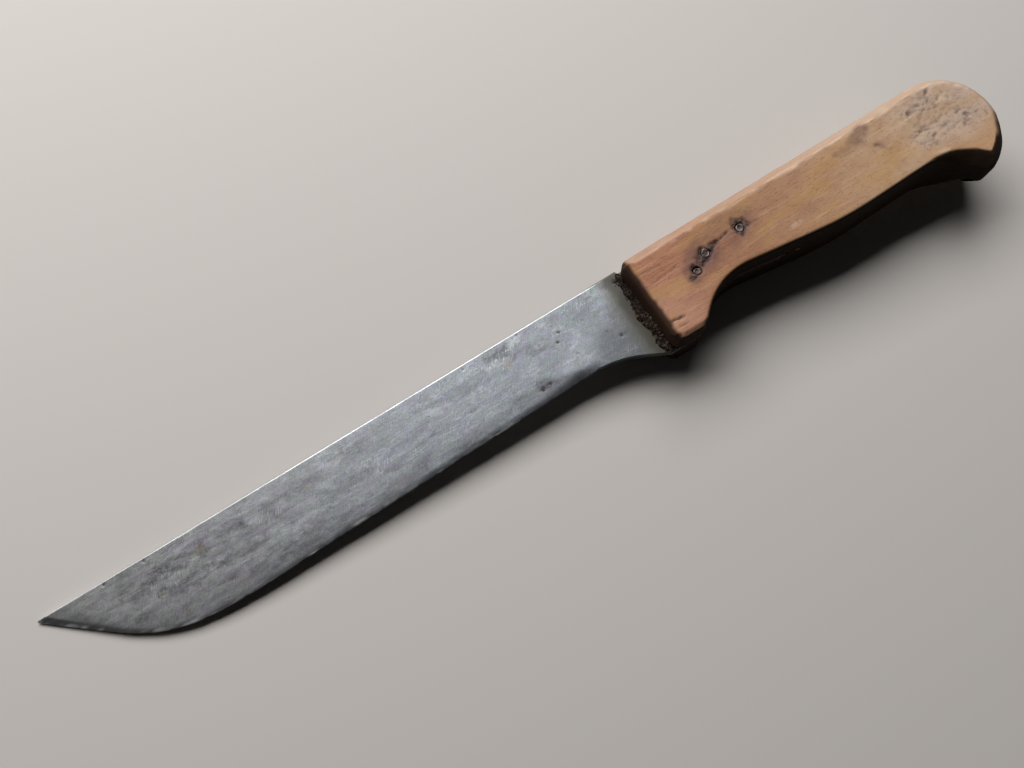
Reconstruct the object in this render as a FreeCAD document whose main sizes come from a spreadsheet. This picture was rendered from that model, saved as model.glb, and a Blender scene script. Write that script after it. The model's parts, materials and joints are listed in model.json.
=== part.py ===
"""Butcher's knife with a one-piece wooden handle, a half tang and three peened pins.

Local frame of every sub-part: X runs from the tip to the butt, Y from the spine towards the
cutting edge, Z across the thickness with the middle plane at 0. The rest placement at the end
turns the edge side to -Y and lays the knife on its tip and on the handle's front lower edge.
"""
import FreeCAD, Part
import math
import os

import Sketcher

SIZES = {
    # blade outline: corner places, and the radius that rounds each corner
    "tip_radius": 0.4,
    "spine_end": 201.0,
    "point_corner_x": 30.8,
    "point_corner_depth": 23.9,
    "point_corner_radius": 50.0,
    "belly_x": 52.5,
    "belly_depth": 26.6,
    "belly_radius": 158.0,
    "choil_x": 185.4,
    "choil_depth": 23.9,
    "choil_radius": 35.0,
    "heel_x": 200.7,
    "heel_radius": 3.0,
    # blade thickness and grinding
    "stock_thickness": 2.5,
    "tip_thickness": 1.4,
    "heel_thickness": 2.1,
    "ground_edge_thickness": 0.45,
    "ground_end_spine_x": 196.0,
    "ground_end_edge_x": 158.0,
    "runout_rise": 0.04,
    "bevel_angle": 20.0,
    "bevel_reach": 4.0,
    # tang inside the handle
    "tang_length": 52.0,
    "tang_inset": 0.5,
    "tang_setback": 0.2,
    "tang_corner_radius": 4.0,
    "tang_notch_radius": 23.5,
    "tang_guard_radius": 1.7,
    # handle outline: corner places, and the radius that rounds each corner
    "handle_front": 201.3,
    "handle_top": 0.55,
    "handle_end": 331.0,
    "front_top_radius": 3.1,
    "butt_top": 0.05,
    "butt_top_radius": 17.0,
    "butt_low_depth": 31.0,
    "butt_low_radius": 21.0,
    "butt_corner_x": 316.8,
    "butt_corner_depth": 37.2,
    "butt_corner_radius": 2.5,
    "flare_x": 304.9,
    "flare_depth": 25.6,
    "flare_radius": 14.0,
    "rear_belly_x": 287.0,
    "rear_belly_depth": 26.1,
    "rear_belly_radius": 300.0,
    "front_belly_x": 267.0,
    "front_belly_depth": 26.7,
    "front_belly_radius": 130.0,
    "notch_x": 223.5,
    "notch_depth": 20.9,
    "notch_radius": 23.0,
    "guard_x": 211.2,
    "guard_depth": 32.2,
    "guard_radius": 2.2,
    "front_low_radius": 3.6,
    "handle_thickness": 20.0,
    "crisp_rounding": 1.2,
    "soft_rounding": 3.6,
    "form_margin": 8.0,
    "kerf_depth": 52.6,
    # pins
    "pin_radius": 1.25,
    "hole_radius": 1.3,
    "pin_length": 19.8,
    "head_chamfer": 0.25,
    "head_cup": 0.35,
    "cup_radius": 0.8,
    "front_pin_x": 219.1,
    "front_pin_depth": 16.2,
    "middle_pin_x": 224.7,
    "middle_pin_depth": 12.7,
    "rear_pin_x": 238.2,
    "rear_pin_depth": 11.4,
    # bead of pitch in the corner between blade and handle front
    "seal_reach": 2.0,
    "seal_height": 1.8,
    "seal_top": 4.2,
    "seal_length": 24.0,
}
PINS = ("front_pin", "middle_pin", "rear_pin")
ON_AXIS = None
CUTTER_MARGIN = 6.0
CLOSE = 0.01
# sketches start from a loose shape, which their constraints then pull into place
RING_CENTRE = 50.0
RING_RADIUS = 40.0
LOOSE_DISTANCE = 10.0
LOOSE_RADIUS = 1.0

doc = FreeCAD.newDocument("butcher_knife")
sheet = doc.addObject("Spreadsheet::Sheet", "Sizes")
for row, (alias, number) in enumerate(SIZES.items(), start=1):
    sheet.set(f"A{row}", alias)
    sheet.set(f"B{row}", str(number))
    sheet.setAlias(f"B{row}", alias)
doc.recompute()


def size(alias):
    """Reads one driving dimension from the sheet."""
    return float(sheet.get(alias))


def plane(body, role):
    """Finds one of a body's own origin planes."""
    for feature in body.Origin.OriginFeatures:
        if feature.Role == role:
            return feature
    raise ValueError(f"{body.Name} has no {role}")


def new_sketch(body, name, role):
    sketch = body.newObject("Sketcher::SketchObject", name)
    sketch.AttachmentSupport = (plane(body, role), [""])
    sketch.MapMode = "FlatFace"
    return sketch


def bind_point(sketch, geometry, position, x_size, y_size):
    """Fixes one point by its distances from the sketch's origin, both bound to the sheet."""
    for kind, axis, text in (("DistanceX", -2, x_size), ("DistanceY", -1, y_size)):
        if text is ON_AXIS:
            sketch.addConstraint(Sketcher.Constraint("PointOnObject", geometry, position, axis))
            continue
        index = sketch.addConstraint(Sketcher.Constraint(kind, -1, 1, geometry, position, LOOSE_DISTANCE))
        sketch.setExpression(f"Constraints[{index}]", text)


def polygon_sketch(body, name, role, corners, construction=False):
    """Closed polygon whose corners are pairs of expressions, started from a round ring."""
    sketch = new_sketch(body, name, role)
    count = len(corners)
    ring = []
    for index in range(count):
        turn = 2.0 * math.pi * index / count
        x = RING_CENTRE + RING_RADIUS * math.cos(turn)
        y = RING_CENTRE + RING_RADIUS * math.sin(turn)
        ring.append(FreeCAD.Vector(x, y, 0.0))
    for index in range(count):
        sketch.addGeometry(Part.LineSegment(ring[index], ring[(index + 1) % count]), construction)
    for index in range(count):
        sketch.addConstraint(Sketcher.Constraint("Coincident", index, 2, (index + 1) % count, 1))
    for index, (x_size, y_size) in enumerate(corners):
        bind_point(sketch, index, 1, x_size, y_size)
    doc.recompute()
    return sketch


def corner_arc(before, corner, after, radius):
    """Arc of the given radius that touches both sides of a corner, with its two ends."""
    back = (before - corner).normalize()
    ahead = (after - corner).normalize()
    half = back.getAngle(ahead) / 2.0
    start = corner + back * (radius / math.tan(half))
    end = corner + ahead * (radius / math.tan(half))
    bisector = (back + ahead).normalize()
    centre = corner + bisector * (radius / math.sin(half))
    middle = centre - bisector * radius
    return Part.Arc(start, middle, end), start, end


def rounded_sketch(body, name, role, corners):
    """Outline of straight runs and tangent arcs, held by a construction polygon of its corners."""
    places = [(x_size, y_size) for x_size, y_size, radius in corners]
    sketch = polygon_sketch(body, name, role, places, construction=True)
    count = len(corners)
    points = [sketch.getPoint(index, 1) for index in range(count)]
    arcs = {}
    starts = list(points)
    ends = list(points)
    for index, (x_size, y_size, radius) in enumerate(corners):
        if radius is not None:
            before = points[index - 1]
            after = points[(index + 1) % count]
            curve, ends[index], starts[index] = corner_arc(before, points[index], after, size(radius))
            arcs[index] = sketch.addGeometry(curve, False)
    lines = []
    for index in range(count):
        run = Part.LineSegment(starts[index], ends[(index + 1) % count])
        lines.append(sketch.addGeometry(run, False))
    for index, (x_size, y_size, radius) in enumerate(corners):
        before = lines[index - 1]
        after = lines[index]
        if radius is None:
            sketch.addConstraint(Sketcher.Constraint("Coincident", before, 2, index, 1))
            sketch.addConstraint(Sketcher.Constraint("Coincident", after, 1, index, 1))
            continue
        arc = arcs[index]
        first, last = arc_ends(sketch, arc, ends[index])
        sketch.addConstraint(Sketcher.Constraint("PointOnObject", before, 2, (index - 1) % count))
        sketch.addConstraint(Sketcher.Constraint("PointOnObject", after, 1, index))
        sketch.addConstraint(Sketcher.Constraint("Tangent", before, 2, arc, first))
        sketch.addConstraint(Sketcher.Constraint("Tangent", after, 1, arc, last))
        number = sketch.addConstraint(Sketcher.Constraint("Radius", arc, size(radius)))
        sketch.setExpression(f"Constraints[{number}]", f"Sizes.{radius}")
    doc.recompute()
    return sketch


def arc_ends(sketch, arc, point):
    """Numbers of an arc's ends: the one at the point first, then the other."""
    if sketch.getPoint(arc, 1).distanceToPoint(point) < sketch.getPoint(arc, 2).distanceToPoint(point):
        return 1, 2
    return 2, 1


def pad(body, name, sketch, length, midplane=True):
    feature = body.newObject("PartDesign::Pad", name)
    feature.Profile = sketch
    feature.setExpression("Length", length)
    feature.Midplane = midplane
    doc.recompute()
    return feature


def rounded_slab(body, corners, thickness):
    """Pads a polygon whose corners are rounded by the radius that each one names."""
    sketch = rounded_sketch(body, f"{body.Label}_outline", "XY_Plane", corners)
    return pad(body, f"{body.Label}_slab", sketch, thickness)


def drill_pin_holes(body):
    """Drills the three pin holes through the whole thickness."""
    before = body.Shape.Volume
    sketch = new_sketch(body, f"{body.Label}_pin_holes", "XY_Plane")
    for index, pin in enumerate(PINS):
        centre = FreeCAD.Vector(LOOSE_DISTANCE * (index + 1), LOOSE_DISTANCE, 0.0)
        sketch.addGeometry(Part.Circle(centre, FreeCAD.Vector(0, 0, 1), LOOSE_RADIUS), False)
        bind_point(sketch, index, 3, f"Sizes.{pin}_x", f"Sizes.{pin}_depth")
        radius = sketch.addConstraint(Sketcher.Constraint("Radius", index, LOOSE_RADIUS))
        sketch.setExpression(f"Constraints[{radius}]", "Sizes.hole_radius")
    doc.recompute()
    pocket = body.newObject("PartDesign::Pocket", f"{body.Label}_drilling")
    pocket.Profile = sketch
    pocket.Type = "ThroughAll"
    pocket.Midplane = True
    doc.recompute()
    if body.Shape.Volume >= before:
        raise ValueError(f"{body.Label}: the drilling removed nothing")


def cutting_block(name, start, along, across):
    """Block whose floor is the plane at height start + along * x + across * y."""
    block = doc.addObject("Part::Box", name)
    block.setExpression("Length", "Sizes.handle_end * 2")
    block.setExpression("Width", "Sizes.handle_end * 2")
    block.setExpression("Height", "Sizes.handle_thickness")
    turned = FreeCAD.Rotation(FreeCAD.Vector(0, 0, 1), FreeCAD.Vector(-along, -across, 1.0))
    corner = turned.multVec(FreeCAD.Vector(-size("handle_end"), -size("handle_end"), 0.0))
    block.Placement = FreeCAD.Placement(FreeCAD.Vector(0.0, 0.0, start) + corner, turned)
    return block


def grinder():
    """What grinding takes off the upper face: a flat wedge that ends in a long, slanting run-out."""
    start = size("tip_thickness") / 2.0
    along = (size("heel_thickness") / 2.0 - start) / size("handle_front")
    middle = start + along * size("handle_front") / 2.0
    across = (size("ground_edge_thickness") / 2.0 - middle) / size("belly_depth")
    rise = size("runout_rise")
    slant = (size("ground_end_spine_x") - size("ground_end_edge_x")) / size("belly_depth")
    flat = cutting_block("grinding_flat", start, along, across)
    runout_start = start - rise * size("ground_end_spine_x")
    runout = cutting_block("grinding_runout", runout_start, along + rise, across + rise * slant)
    wedge = doc.addObject("Part::Common", "grinding_upper")
    wedge.Base = flat
    wedge.Tool = runout
    doc.recompute()
    return wedge


def mirrored(feature, name):
    """The same shape on the other side of the middle plane."""
    mirror = doc.addObject("Part::Mirroring", name)
    mirror.Source = feature
    mirror.Normal = FreeCAD.Vector(0, 0, 1)
    doc.recompute()
    return mirror


def edge_path(blank):
    """Cutting edge on the middle plane, from beyond the tip to the choil."""
    low = -size("stock_thickness") / 2.0
    chosen = []
    for edge in blank.Shape.Edges:
        middle = edge.CenterOfMass
        flat = abs(edge.BoundBox.ZMax - low) < CLOSE and abs(edge.BoundBox.ZMin - low) < CLOSE
        if flat and middle.y > size("tip_radius") and edge.BoundBox.XMax < size("choil_x"):
            chosen.append(edge.copy())
    wire = Part.Wire(Part.sortEdges(chosen)[0])
    wire.translate(FreeCAD.Vector(0.0, 0.0, -low))
    ends = sorted((vertex.Point for vertex in wire.OrderedVertexes), key=lambda point: point.x)
    first = ends[0]
    run = FreeCAD.Vector(size("point_corner_x"), size("point_corner_depth"), 0.0).normalize()
    lead = Part.LineSegment(first - run * CUTTER_MARGIN, first).toShape()
    return Part.Wire(Part.sortEdges([lead] + wire.Edges)[0]), first - run * CUTTER_MARGIN, run


def edge_bevel(blank, side):
    """Wedge swept along the cutting edge; it grinds one side of the final bevel."""
    path, start, run = edge_path(blank)
    rise = math.tan(math.radians(size("bevel_angle"))) * side
    inward = FreeCAD.Vector(run.y, -run.x, 0.0)
    up = FreeCAD.Vector(0.0, 0.0, 1.0)
    reach = size("bevel_reach")
    outside = start - inward * size("stock_thickness")
    roof = up * (reach * rise + size("stock_thickness") * side)
    section = [
        start,
        start + inward * reach + up * (reach * rise),
        start + inward * reach + roof,
        outside + roof,
        outside,
    ]
    profile = Part.makePolygon(section + section[:1])
    shape = path.makePipeShell([profile], True, False)
    feature = doc.addObject("Part::Feature", f"bevel_{'upper' if side > 0 else 'lower'}")
    feature.Shape = shape
    return feature


def make_blade():
    """Blade, ricasso and tang in one piece of steel."""
    body = doc.addObject("PartDesign::Body", "blade_blank")
    tang_end = "Sizes.handle_front + Sizes.tang_length"
    tang_top = "Sizes.handle_top + Sizes.tang_inset"
    tang_low = "Sizes.guard_depth - Sizes.tang_inset"
    slope = "(Sizes.front_belly_depth - Sizes.notch_depth) / (Sizes.front_belly_x - Sizes.notch_x)"
    notch_low = "Sizes.notch_depth - Sizes.tang_inset"
    corners = [
        (ON_AXIS, ON_AXIS, "tip_radius"),
        ("Sizes.spine_end", ON_AXIS, None),
        ("Sizes.spine_end", tang_top, None),
        (tang_end, tang_top, "tang_corner_radius"),
        (tang_end, f"{notch_low} + ({tang_end} - Sizes.notch_x) * {slope}", "tang_corner_radius"),
        ("Sizes.notch_x - Sizes.tang_setback", notch_low, "tang_notch_radius"),
        ("Sizes.guard_x - Sizes.tang_setback", tang_low, "tang_guard_radius"),
        ("Sizes.heel_x", tang_low, "heel_radius"),
        ("Sizes.choil_x", "Sizes.choil_depth", "choil_radius"),
        ("Sizes.belly_x", "Sizes.belly_depth", "belly_radius"),
        ("Sizes.point_corner_x", "Sizes.point_corner_depth", "point_corner_radius"),
    ]
    rounded_slab(body, corners, "Sizes.stock_thickness")
    drill_pin_holes(body)
    wedge = grinder()
    tools = [wedge, mirrored(wedge, "grinding_lower"), edge_bevel(body, 1), edge_bevel(body, -1)]
    grinding = doc.addObject("Part::MultiFuse", "grinding")
    grinding.Shapes = tools
    blade = doc.addObject("Part::Cut", "blade")
    blade.Base = body
    blade.Tool = grinding
    doc.recompute()
    return blade


def rounded_form(name, corners, rounding):
    """Slab of the handle's thickness whose rims, top and bottom, are rounded all the way around."""
    body = doc.addObject("PartDesign::Body", name)
    slab = rounded_slab(body, corners, "Sizes.handle_thickness")
    half = size("handle_thickness") / 2.0
    rims = []
    for number, edge in enumerate(slab.Shape.Edges, start=1):
        box = edge.BoundBox
        if abs(abs(box.ZMax) - half) < CLOSE and box.ZLength < CLOSE:
            rims.append(f"Edge{number}")
    feature = body.newObject("PartDesign::Fillet", f"{name}_rims")
    feature.Base = (slab, rims)
    feature.setExpression("Radius", f"Sizes.{rounding}")
    doc.recompute()
    return body


def make_handle():
    """One block of wood, crisp at the front and grip and well rounded at the back and butt."""
    before = "Sizes.handle_front - Sizes.form_margin"
    beyond = "Sizes.handle_end + Sizes.form_margin"
    grip = rounded_form("grip_form", [
        ("Sizes.handle_front", "Sizes.handle_top", "front_top_radius"),
        (beyond, "Sizes.handle_top - Sizes.form_margin", None),
        (beyond, "Sizes.butt_low_depth", None),
        ("Sizes.butt_corner_x", "Sizes.butt_corner_depth", "butt_corner_radius"),
        ("Sizes.flare_x", "Sizes.flare_depth", "flare_radius"),
        ("Sizes.rear_belly_x", "Sizes.rear_belly_depth", "rear_belly_radius"),
        ("Sizes.front_belly_x", "Sizes.front_belly_depth", "front_belly_radius"),
        ("Sizes.notch_x", "Sizes.notch_depth", "notch_radius"),
        ("Sizes.guard_x", "Sizes.guard_depth", "guard_radius"),
        ("Sizes.handle_front", "Sizes.guard_depth", "front_low_radius"),
    ], "crisp_rounding")
    fall = "(Sizes.butt_corner_depth - Sizes.butt_low_depth) / (Sizes.handle_end - Sizes.butt_corner_x)"
    back_low = f"Sizes.butt_corner_depth + 2 * Sizes.form_margin * {fall}"
    back = rounded_form("back_form", [
        (before, "Sizes.handle_top", None),
        ("Sizes.handle_end", "Sizes.butt_top", "butt_top_radius"),
        ("Sizes.handle_end", "Sizes.butt_low_depth", "butt_low_radius"),
        ("Sizes.butt_corner_x - 2 * Sizes.form_margin", back_low, None),
        (before, back_low, None),
    ], "soft_rounding")
    cut_kerf(grip)
    drill_pin_holes(grip)
    handle = doc.addObject("Part::Common", "handle")
    handle.Base = grip
    handle.Tool = back
    doc.recompute()
    return handle


def cut_kerf(body):
    """Sawn slot, open at the front, at the top edge and at the lower edge."""
    before = body.Shape.Volume
    kerf_start = size("handle_front") - size("form_margin")
    kerf_end = size("handle_front") + size("kerf_depth")
    half = size("stock_thickness") / 2.0
    sketch = new_sketch(body, "kerf_outline", "XZ_Plane")
    places = ((kerf_start, -half), (kerf_end, -half), (kerf_end, half), (kerf_start, half))
    for index, (x, z) in enumerate(places):
        nx, nz = places[(index + 1) % 4]
        line = Part.LineSegment(FreeCAD.Vector(x, z, 0), FreeCAD.Vector(nx, nz, 0))
        sketch.addGeometry(line, False)
    for index in range(4):
        sketch.addConstraint(Sketcher.Constraint("Coincident", index, 2, (index + 1) % 4, 1))
    for index in (0, 2):
        sketch.addConstraint(Sketcher.Constraint("Horizontal", index))
    sketch.addConstraint(Sketcher.Constraint("Vertical", 3))
    sketch.addConstraint(Sketcher.Constraint("Symmetric", 1, 1, 1, 2, -1))
    bounds = (
        ((-1, 1, 0, 1, kerf_start), "DistanceX", "Sizes.handle_front - Sizes.form_margin"),
        ((-1, 1, 0, 2, kerf_end), "DistanceX", "Sizes.handle_front + Sizes.kerf_depth"),
        ((1, 1, 1, 2, 2.0 * half), "DistanceY", "Sizes.stock_thickness"),
    )
    for ends, kind, text in bounds:
        index = sketch.addConstraint(Sketcher.Constraint(kind, *ends))
        sketch.setExpression(f"Constraints[{index}]", text)
    doc.recompute()
    kerf = body.newObject("PartDesign::Pocket", "kerf")
    kerf.Profile = sketch
    kerf.Type = "ThroughAll"
    kerf.Midplane = True
    doc.recompute()
    if body.Shape.Volume >= before:
        raise ValueError("the kerf removed nothing")


def make_pin(name):
    """Iron pin with chamfered, slightly cupped ends; it is made upright and then placed."""
    body = doc.addObject("PartDesign::Body", name)
    top = "Sizes.pin_length"
    corners = [
        (ON_AXIS, "Sizes.head_cup"),
        ("Sizes.cup_radius", ON_AXIS),
        ("Sizes.pin_radius - Sizes.head_chamfer", ON_AXIS),
        ("Sizes.pin_radius", "Sizes.head_chamfer"),
        ("Sizes.pin_radius", f"{top} - Sizes.head_chamfer"),
        ("Sizes.pin_radius - Sizes.head_chamfer", top),
        ("Sizes.cup_radius", top),
        (ON_AXIS, f"{top} - Sizes.head_cup"),
    ]
    sketch = polygon_sketch(body, f"{name}_outline", "XZ_Plane", corners)
    turned = body.newObject("PartDesign::Revolution", f"{name}_turned")
    turned.Profile = sketch
    turned.ReferenceAxis = (sketch, ["V_Axis"])
    turned.Angle = 360.0
    doc.recompute()
    place = FreeCAD.Vector(size(f"{name}_x"), size(f"{name}_depth"), -size("pin_length") / 2.0)
    return body, FreeCAD.Placement(place, FreeCAD.Rotation())


def make_seal():
    """Bead of pitch on each side of the blade, against the handle's front face."""
    bead = doc.addObject("PartDesign::Body", "seal_bead")
    face = "Sizes.stock_thickness / 2"
    corners = [
        ("Sizes.handle_front", face),
        ("Sizes.handle_front - Sizes.seal_reach", face),
        ("Sizes.handle_front", f"{face} + Sizes.seal_height"),
    ]
    sketch = polygon_sketch(bead, "bead_outline", "XZ_Plane", corners)
    pad(bead, "bead_run", sketch, "Sizes.seal_length")
    middle = size("seal_top") + size("seal_length") / 2.0
    bead.Placement = FreeCAD.Placement(FreeCAD.Vector(0.0, middle, 0.0), FreeCAD.Rotation())
    seal = doc.addObject("Part::Compound", "slot_seal")
    seal.Links = [bead, mirrored(bead, "seal_bead_mirrored")]
    doc.recompute()
    return seal


def rest_placement():
    """Lays the knife on its tip and on the rounded lower edge of the handle's front."""
    rounding = size("crisp_rounding")
    reach = size("handle_front") + rounding
    rise = size("handle_thickness") / 2.0 - rounding - size("tip_thickness") / 2.0
    slope = math.atan2(rise, reach) + math.asin(rounding / math.hypot(reach, rise))
    flipped = FreeCAD.Rotation(FreeCAD.Vector(1, 0, 0), 180.0)
    tilted = FreeCAD.Rotation(FreeCAD.Vector(0, 1, 0), -math.degrees(slope))
    return FreeCAD.Placement(FreeCAD.Vector(), tilted.multiply(flipped)), math.degrees(slope)


def main():
    parts = {"blade": make_blade(), "handle": make_handle(), "slot_seal": make_seal()}
    own_place = {name: FreeCAD.Placement() for name in parts}
    for name in PINS:
        parts[name], own_place[name] = make_pin(name)
    resting, slope = rest_placement()
    for name, part in parts.items():
        part.Label = name
        part.Placement = resting.multiply(own_place[name])
    doc.recompute()
    box = FreeCAD.BoundBox()
    for part in parts.values():
        box.add(part.Shape.optimalBoundingBox(False, False))
    centre = FreeCAD.Vector(-(box.XMin + box.XMax) / 2.0, -(box.YMin + box.YMax) / 2.0, -box.ZMin)
    shift = FreeCAD.Placement(centre, FreeCAD.Rotation())
    for part in parts.values():
        part.Placement = shift.multiply(part.Placement)
    doc.recompute()
    for thing in doc.Objects:
        if "Invalid" in thing.State or "Error" in thing.State:
            raise RuntimeError(f"{thing.Label} failed: {thing.State}")
    for name, part in parts.items():
        if part.Shape.isNull() or not part.Shape.isValid():
            raise RuntimeError(f"{name} has no valid shape")
    os.makedirs("parts", exist_ok=True)
    for name, part in parts.items():
        part.Shape.exportStep(f"parts/{name}.step")
        print(f"{name}: {len(part.Shape.Solids)} solid(s), {part.Shape.Volume / 1000.0:.2f} cm3")
    print(f"slope {slope:.3f} deg, size {box.XLength:.1f} x {box.YLength:.1f} x {box.ZLength:.1f} mm")
    print(f"local origin sits at {centre.x:.3f}, {centre.y:.3f}, {centre.z:.3f}")


main()
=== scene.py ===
"""Looks of an old butcher's knife: ground steel blade, worn beech handle, peened pins, pitch in the slot.

Shapes are made in the knife's own frame, in millimetres: x from the tip to the butt, y up to the
spine (the cutting edge is at negative y), z across the thickness with the middle plane at 0. The
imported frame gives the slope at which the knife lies, and to_row brings every piece into the row's frame.
"""

import json
import math

import bmesh
import bpy
import numpy as np
from mathutils import Matrix, Vector
from mathutils.bvhtree import BVHTree
from mathutils.kdtree import KDTree


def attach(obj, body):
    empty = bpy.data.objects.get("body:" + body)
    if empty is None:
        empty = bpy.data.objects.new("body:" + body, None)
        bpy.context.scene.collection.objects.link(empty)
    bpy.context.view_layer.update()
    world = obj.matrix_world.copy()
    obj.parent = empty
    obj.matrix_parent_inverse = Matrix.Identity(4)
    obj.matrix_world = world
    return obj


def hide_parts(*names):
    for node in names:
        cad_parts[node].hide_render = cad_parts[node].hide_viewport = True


MM = 0.001
HANDLE_END = 331.0
HANDLE_FRONT = 201.3

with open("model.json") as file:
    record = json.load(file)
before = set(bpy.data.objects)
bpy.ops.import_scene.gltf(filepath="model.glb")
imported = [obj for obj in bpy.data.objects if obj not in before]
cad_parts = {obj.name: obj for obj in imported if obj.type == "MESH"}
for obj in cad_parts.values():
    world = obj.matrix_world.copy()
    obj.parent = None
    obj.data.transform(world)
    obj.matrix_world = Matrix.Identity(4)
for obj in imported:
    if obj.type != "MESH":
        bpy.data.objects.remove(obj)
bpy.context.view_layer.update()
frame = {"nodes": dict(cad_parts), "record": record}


# ---------------------------------------------------------------- frames

def cad_points(node):
    """Vertices of a CAD node, in the row frame, in millimetres."""
    mesh = frame["nodes"][node].data
    flat = np.empty(len(mesh.vertices) * 3)
    mesh.vertices.foreach_get("co", flat)
    return flat.reshape(-1, 3) / MM


def knife_frame():
    """Turning matrix and origin of the knife's own frame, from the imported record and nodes."""
    under = next(m for m in frame["record"]["mounts"] if m["name"] == "handle_side")
    slope = math.atan2(under["axis"][0], -under["axis"][2])
    turn = np.array(Matrix.Rotation(slope, 3, "Y"))
    handle = cad_points("handle") @ turn.T
    blade = cad_points("blade") @ turn.T
    origin = np.array([
        handle[:, 0].max() - HANDLE_END,
        blade[:, 1].max(),
        (handle[:, 2].max() + handle[:, 2].min()) / 2.0,
    ])
    return turn, origin, slope


TURN, ORIGIN, SLOPE = knife_frame()


def to_knife(points):
    """Row millimetres to knife millimetres."""
    return points @ TURN.T - ORIGIN


def to_row(points):
    """Knife millimetres to row metres."""
    return (points + ORIGIN) @ TURN * MM


# ---------------------------------------------------------------- noise and masks

OCTAVES = 3
SOFT_START = 0.35


def lattice(cell, seed):
    """Fixed pseudo-random value from -1 to 1 for each integer cell."""
    a = cell.astype(np.int64) & 0xFFFFFFFF
    mixed = (a[:, 0] * 374761393 + a[:, 1] * 668265263 + a[:, 2] * 362437 + seed * 974711) & 0xFFFFFFFF
    mixed = ((mixed ^ (mixed >> 13)) * 1274126177) & 0xFFFFFFFF
    mixed = ((mixed ^ (mixed >> 15)) * 668265263) & 0xFFFFFFFF
    return (mixed ^ (mixed >> 16)) / 2147483647.5 - 1.0


def noise(points, size, seed):
    """Smooth noise from -1 to 1; size is one length or one per axis, in millimetres."""
    scaled = points / np.asarray(size, float)
    cell = np.floor(scaled)
    part = scaled - cell
    part = part * part * (3.0 - 2.0 * part)
    total = np.zeros(len(points))
    for corner in range(8):
        step = np.array([corner & 1, corner >> 1 & 1, corner >> 2 & 1], float)
        weight = np.prod(np.where(step > 0, part, 1.0 - part), axis=1)
        total += weight * lattice(cell + step, seed)
    return total


def fractal(points, size, seed):
    """Sum of noises of which each is half as large and half as strong as the one before."""
    total = np.zeros(len(points))
    share = 1.0
    for octave in range(OCTAVES):
        total += share * noise(points, np.asarray(size, float) / 2.0 ** octave, seed + octave)
        share *= 0.5
    return total / (2.0 - 2.0 * share)


def smooth(low, high, value):
    """Smooth step from 0 at low to 1 at high."""
    part = np.clip((value - low) / (high - low), 0.0, 1.0)
    return part * part * (3.0 - 2.0 * part)


def spot(points, x, y, wide, high, turn=0.0, rough=0.0, seed=0):
    """Soft-edged elliptical mask on the knife's side, 1 in its middle; wide and high are half sizes."""
    dx = points[:, 0] - x
    dy = points[:, 1] - y
    angle = math.radians(turn)
    along = dx * math.cos(angle) + dy * math.sin(angle)
    across = dy * math.cos(angle) - dx * math.sin(angle)
    reach = np.hypot(along / wide, across / high)
    if rough:
        reach = reach + rough * 1.6 * fractal(points, min(wide, high) * 1.3, seed)
    return 1.0 - smooth(SOFT_START, 1.0, reach)


def widest(points, spots):
    """Greatest of several spots, given as strength, x, depth, half sizes, turn, roughness and seed."""
    return np.maximum.reduce([
        strength * spot(points, x, -depth, wide, high, turn=turn, rough=rough, seed=seed)
        for strength, x, depth, wide, high, turn, rough, seed in spots
    ])


def streak(points, start, end, width, seed, ragged=0.3):
    """Mask of a thin ragged line between two places, given as x and depth below the spine."""
    a = np.array((start[0], -start[1]))
    run = np.array((end[0], -end[1])) - a
    length = np.hypot(*run)
    run = run / length
    rel = points[:, :2] - a
    along = rel @ run
    across = rel @ np.array([-run[1], run[0]]) + ragged * noise(points, 1.6, seed)
    taper = smooth(-0.4, 0.6, along) * (1.0 - smooth(length - 1.5, length, along))
    return taper * (1.0 - smooth(width * 0.4, width, np.abs(across)))


# ---------------------------------------------------------------- pieces

SMOOTHING_ROUNDS = 2


def tube(rings, around, first):
    """Faces between rings of points; first is the index of the first ring's first point."""
    faces = []
    for ring in range(rings - 1):
        base = first + ring * around
        for i in range(around):
            after = (i + 1) % around
            faces.append((base + i, base + around + i, base + around + after, base + after))
    return faces


def closed_tube(rings, around):
    """Faces of a tube whose two ends each close in one point, first and last in the list."""
    last = 1 + rings * around
    base = last - around
    faces = [(0, 1 + i, 1 + (i + 1) % around) for i in range(around)]
    faces += tube(rings, around, 1)
    faces += [(last, base + (i + 1) % around, base + i) for i in range(around)]
    return faces


def new_piece(name, points, faces, material, replaced, masks=None):
    """Makes a smooth-shaded piece from knife millimetres that rides on the root body."""
    mesh = bpy.data.meshes.new(name)
    mesh.from_pydata(to_row(points).tolist(), [], faces)
    mesh.update()
    mesh.shade_smooth()
    for label, values in (masks or {}).items():
        layer = mesh.attributes.new(label, "FLOAT", "POINT")
        layer.data.foreach_set("value", np.clip(values, 0.0, 1.0).astype(np.float32))
    piece = bpy.data.objects.new(name, mesh)
    bpy.context.scene.collection.objects.link(piece)
    mesh.materials.append(material)
    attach(piece, "root")
    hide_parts(*replaced)
    return piece


def mesh_arrays(mesh):
    """Places and normals of a mesh's vertices."""
    points = np.empty(len(mesh.vertices) * 3)
    mesh.vertices.foreach_get("co", points)
    normals = np.empty(len(mesh.vertices) * 3)
    mesh.vertices.foreach_get("normal", normals)
    return points.reshape(-1, 3), normals.reshape(-1, 3)


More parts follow.
